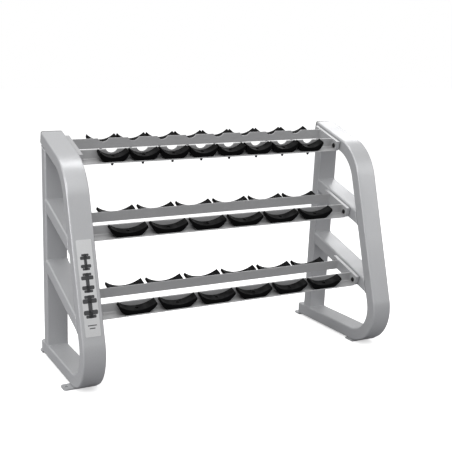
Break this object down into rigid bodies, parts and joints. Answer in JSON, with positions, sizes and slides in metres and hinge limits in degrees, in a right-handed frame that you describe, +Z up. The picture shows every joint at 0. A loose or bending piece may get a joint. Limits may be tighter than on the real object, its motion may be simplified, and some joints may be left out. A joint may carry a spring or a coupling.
{
  "type": "dumbbell rack",
  "caption": "Free-standing dumbbell rack: bent tube end frames carry sloping tiers of paired angle rails with moulded saddles.",
  "frame": {"origin": "on the floor, at the middle of the rack's length and of its depth", "axes": "+X along the rack from its left end frame to its right one, +Y from the front to the back, +Z up"},
  "size_m": [1.628, 0.7434, 1.082],
  "materials": {
    "frame_silver": "satin silver powder coat",
    "post_silver": "satin silver powder coat",
    "crossbar_silver": "satin silver powder coat",
    "rail_grey": "satin grey powder coat",
    "bracket_silver": "satin silver powder coat",
    "saddle_black": "matt black moulded polyurethane"
  },
  "bodies": {
    "root": {"end_frame_left": "frame_silver", "rear_post_left": "post_silver", "mid_crossbar_left": "crossbar_silver", "low_crossbar_left": "crossbar_silver", "end_frame_right": "frame_silver", "rear_post_right": "post_silver", "mid_crossbar_right": "crossbar_silver", "low_crossbar_right": "crossbar_silver", "top_rear_rail": "rail_grey", "top_front_rail": "rail_grey", "top_bracket_left": "bracket_silver", "top_bracket_right": "bracket_silver", "top_rear_saddle_1": "saddle_black", "top_rear_saddle_2": "saddle_black", "top_rear_saddle_3": "saddle_black", "top_rear_saddle_4": "saddle_black", "top_rear_saddle_5": "saddle_black", "top_rear_saddle_6": "saddle_black", "top_rear_saddle_7": "saddle_black", "top_rear_saddle_8": "saddle_black", "top_front_saddle_1": "saddle_black", "top_front_saddle_2": "saddle_black", "top_front_saddle_3": "saddle_black", "top_front_saddle_4": "saddle_black", "top_front_saddle_5": "saddle_black", "top_front_saddle_6": "saddle_black", "top_front_saddle_7": "saddle_black", "top_front_saddle_8": "saddle_black", "mid_rear_rail": "rail_grey", "mid_front_rail": "rail_grey", "mid_bracket_left": "bracket_silver", "mid_bracket_right": "bracket_silver", "mid_rear_saddle_1": "saddle_black", "mid_rear_saddle_2": "saddle_black", "mid_rear_saddle_3": "saddle_black", "mid_rear_saddle_4": "saddle_black", "mid_rear_saddle_5": "saddle_black", "mid_rear_saddle_6": "saddle_black", "mid_front_saddle_1": "saddle_black", "mid_front_saddle_2": "saddle_black", "mid_front_saddle_3": "saddle_black", "mid_front_saddle_4": "saddle_black", "mid_front_saddle_5": "saddle_black", "mid_front_saddle_6": "saddle_black", "low_rear_rail": "rail_grey", "low_front_rail": "rail_grey", "low_bracket_left": "bracket_silver", "low_bracket_right": "bracket_silver", "low_rear_saddle_1": "saddle_black", "low_rear_saddle_2": "saddle_black", "low_rear_saddle_3": "saddle_black", "low_rear_saddle_4": "saddle_black", "low_rear_saddle_5": "saddle_black", "low_rear_saddle_6": "saddle_black", "low_front_saddle_1": "saddle_black", "low_front_saddle_2": "saddle_black", "low_front_saddle_3": "saddle_black", "low_front_saddle_4": "saddle_black", "low_front_saddle_5": "saddle_black", "low_front_saddle_6": "saddle_black"}
  },
  "joints": []
}
